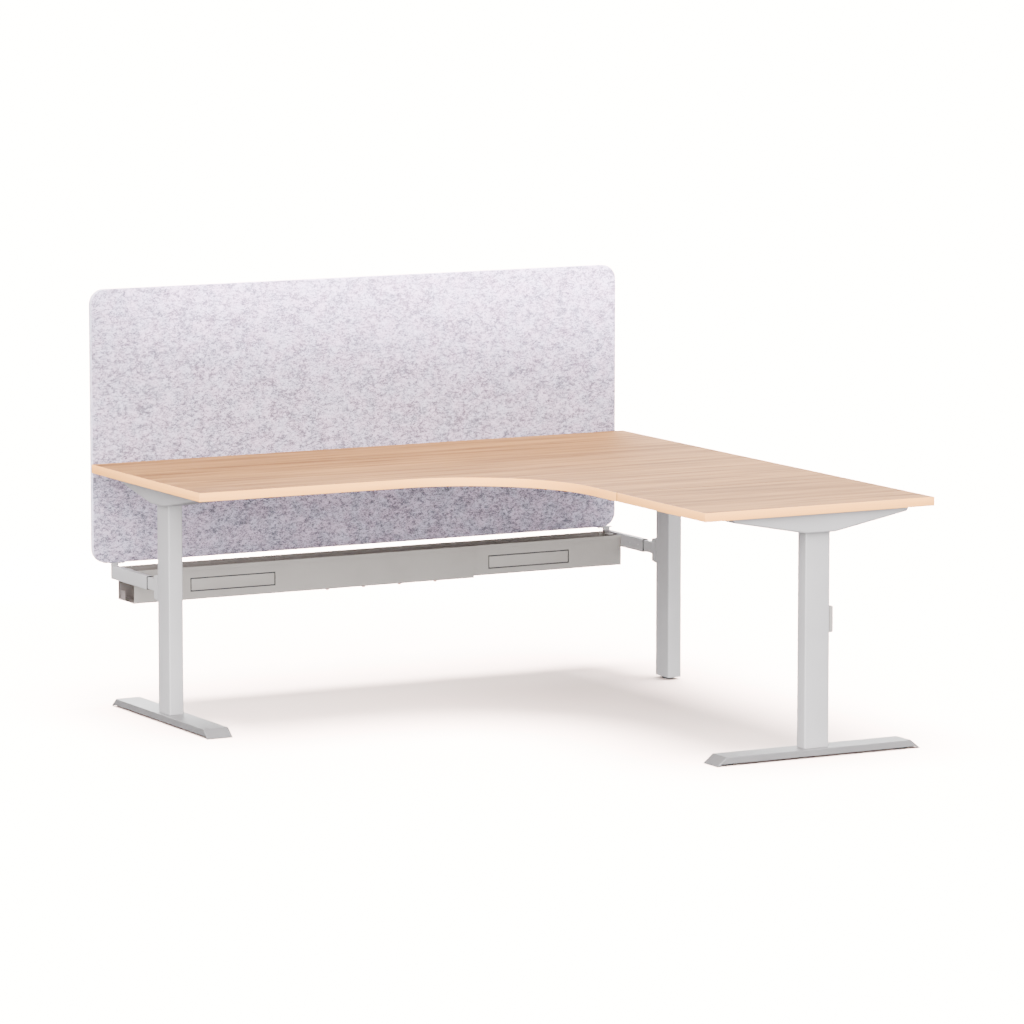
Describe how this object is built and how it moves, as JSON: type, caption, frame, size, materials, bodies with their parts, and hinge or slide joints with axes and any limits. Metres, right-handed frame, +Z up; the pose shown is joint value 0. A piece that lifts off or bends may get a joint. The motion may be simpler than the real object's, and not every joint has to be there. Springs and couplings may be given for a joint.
{
  "type": "corner workstation",
  "caption": "L-shaped desk on three steel columns, with a felt screen and a telescopic cable tray on two sliding arms behind it.",
  "frame": {"origin": "middle of the base: on the floor, below the centre of the whole part's box", "axes": "+X to the user's right along the main board, +Y to the back where the screen stands, +Z up"},
  "size_m": [1.8, 1.842, 1.236],
  "materials": {
    "worktop_laminate": "matt beech-coloured laminate with fine straight grain",
    "edge_band": "pale wood-coloured edge band",
    "frame_paint": "satin light grey powder coat",
    "tray_paint": "satin grey powder coat",
    "cover_plastic": "matt grey plastic in the paint's colour",
    "screen_felt": "marled pressed felt, light grey with a violet tint",
    "glide_plastic": "matt black moulded plastic",
    "clamp_screw_brass": "brass-coloured plated steel",
    "zinc_fixings": "bright zinc plate"
  },
  "bodies": {
    "frame": {"arm_flange_bolts": "zinc_fixings", "arm_flange_left": "frame_paint", "arm_flange_right": "frame_paint", "arm_guide_blocks": "glide_plastic", "arm_pad_left": "frame_paint", "arm_pad_right": "frame_paint", "arm_pad_spare": "cover_plastic", "arm_rail_left": "frame_paint", "arm_rail_right": "frame_paint", "beam_bolts": "zinc_fixings", "beam_end_plates": "frame_paint", "beam_lock_screws": "zinc_fixings", "beam_weld_nuts": "zinc_fixings", "column_base_plugs": "frame_paint", "column_corner": "frame_paint", "column_corner_plug": "glide_plastic", "column_left": "frame_paint", "column_right": "frame_paint", "foot_bolts": "zinc_fixings", "foot_left": "frame_paint", "foot_right": "frame_paint", "glide_nut_bars": "zinc_fixings", "head_plate_corner": "frame_paint", "head_plates": "frame_paint", "main_beam_inner": "frame_paint", "main_beam_outer": "frame_paint", "main_top": "worktop_laminate", "main_top_edge_band": "edge_band", "return_beam_inner": "frame_paint", "return_beam_outer": "frame_paint", "return_top": "worktop_laminate", "return_top_edge_band": "edge_band", "seam_plates": "zinc_fixings", "top_bracket_left": "frame_paint", "top_bracket_right": "frame_paint", "worktop_screws": "zinc_fixings"},
    "screen_carriage": {"arm_sleeve_left": "frame_paint", "arm_sleeve_right": "frame_paint", "arm_bushes": "glide_plastic", "arm_sleeve_caps": "glide_plastic", "arm_set_screws": "zinc_fixings", "tray_hanger_left": "tray_paint", "tray_hanger_right": "tray_paint", "tray_hanger_screws": "zinc_fixings", "tray_section_left": "tray_paint", "tray_section_right": "tray_paint", "tray_blank_left": "cover_plastic", "tray_blank_right": "cover_plastic", "tray_clamp_screws": "clamp_screw_brass", "screen_panel": "screen_felt", "screen_bracket_left": "frame_paint", "screen_bracket_right": "frame_paint", "screen_screws": "zinc_fixings"},
    "glide_left_front": {"glide_left_front": "glide_plastic"},
    "glide_left_back": {"glide_left_back": "glide_plastic"},
    "glide_corner": {"glide_corner": "glide_plastic"},
    "glide_right_inner": {"glide_right_inner": "glide_plastic"},
    "glide_right_outer": {"glide_right_outer": "glide_plastic"}
  },
  "joints": [
    {"name": "carriage_slide", "type": "slide", "parent": "frame", "child": "screen_carriage", "axis": [0, 1, 0], "range_m": [-0.02, 0.1]},
    {"name": "glide_left_front_screw", "type": "slide", "parent": "frame", "child": "glide_left_front", "axis": [0, 0, -1], "range_m": [0, 0.01]},
    {"name": "glide_left_back_screw", "type": "slide", "parent": "frame", "child": "glide_left_back", "axis": [0, 0, -1], "range_m": [0, 0.01]},
    {"name": "glide_corner_screw", "type": "slide", "parent": "frame", "child": "glide_corner", "axis": [0, 0, -1], "range_m": [0, 0.01]},
    {"name": "glide_right_inner_screw", "type": "slide", "parent": "frame", "child": "glide_right_inner", "axis": [0, 0, -1], "range_m": [0, 0.01]},
    {"name": "glide_right_outer_screw", "type": "slide", "parent": "frame", "child": "glide_right_outer", "axis": [0, 0, -1], "range_m": [0, 0.01]}
  ]
}
